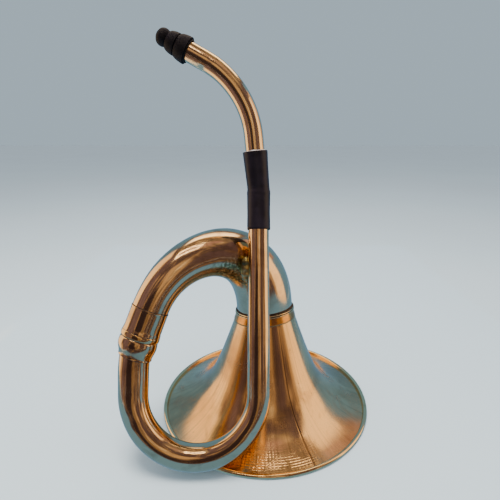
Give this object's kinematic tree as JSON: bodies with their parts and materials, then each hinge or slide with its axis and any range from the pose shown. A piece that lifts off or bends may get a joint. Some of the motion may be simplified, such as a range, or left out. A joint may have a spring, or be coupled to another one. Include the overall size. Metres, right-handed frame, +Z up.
{
  "type": "ear trumpet",
  "caption": "Looped brass horn standing on its flared bell, with a rubber-jointed crook and a soft flanged ear tip.",
  "frame": {"origin": "middle of the footprint's bounding box, on the surface the bell's rim stands on", "axes": "+Z up along the bell's axis, -X towards the loop's left leg and the ear tip, -Y towards the side the front leg passes"},
  "size_m": [0.165, 0.1532, 0.2523],
  "materials": {
    "bell_brass": "satin",
    "polished_brass": "polished",
    "solder": "rough",
    "black_rubber": "matte",
    "pale_liner": "matte"
  },
  "bodies": {
    "horn": {"bell": "bell_brass", "rim_bead": "bell_brass", "neck_band": "bell_brass", "neck_wire_lower": "polished_brass", "neck_wire_upper": "polished_brass", "upper_bow": "polished_brass", "ferrule_sleeve": "polished_brass", "ferrule_bead": "polished_brass", "ferrule_cup": "polished_brass", "horn_tube": "polished_brass", "leg_solder": "solder"},
    "sleeve": {"joint_sleeve": "black_rubber"},
    "crook": {"crook": "polished_brass", "sleeve_liner": "pale_liner", "tip_nipple": "polished_brass"},
    "ear_tip": {"ear_tip": "black_rubber"}
  },
  "joints": [
    {"name": "sleeve_pull", "type": "slide", "parent": "horn", "child": "sleeve", "axis": [0, 0.342, 0.9397], "range_m": [0, 0.024]},
    {"name": "crook_swivel", "type": "hinge", "parent": "sleeve", "child": "crook", "pos_m": [0.00168, -0.01398, 0.16064], "axis": [-0.0924, 0.1041, 0.9903], "continuous": true},
    {"name": "ear_tip_pull", "type": "slide", "parent": "crook", "child": "ear_tip", "axis": [-0.8821, 0.0492, 0.4684], "range_m": [0, 0.016]}
  ]
}
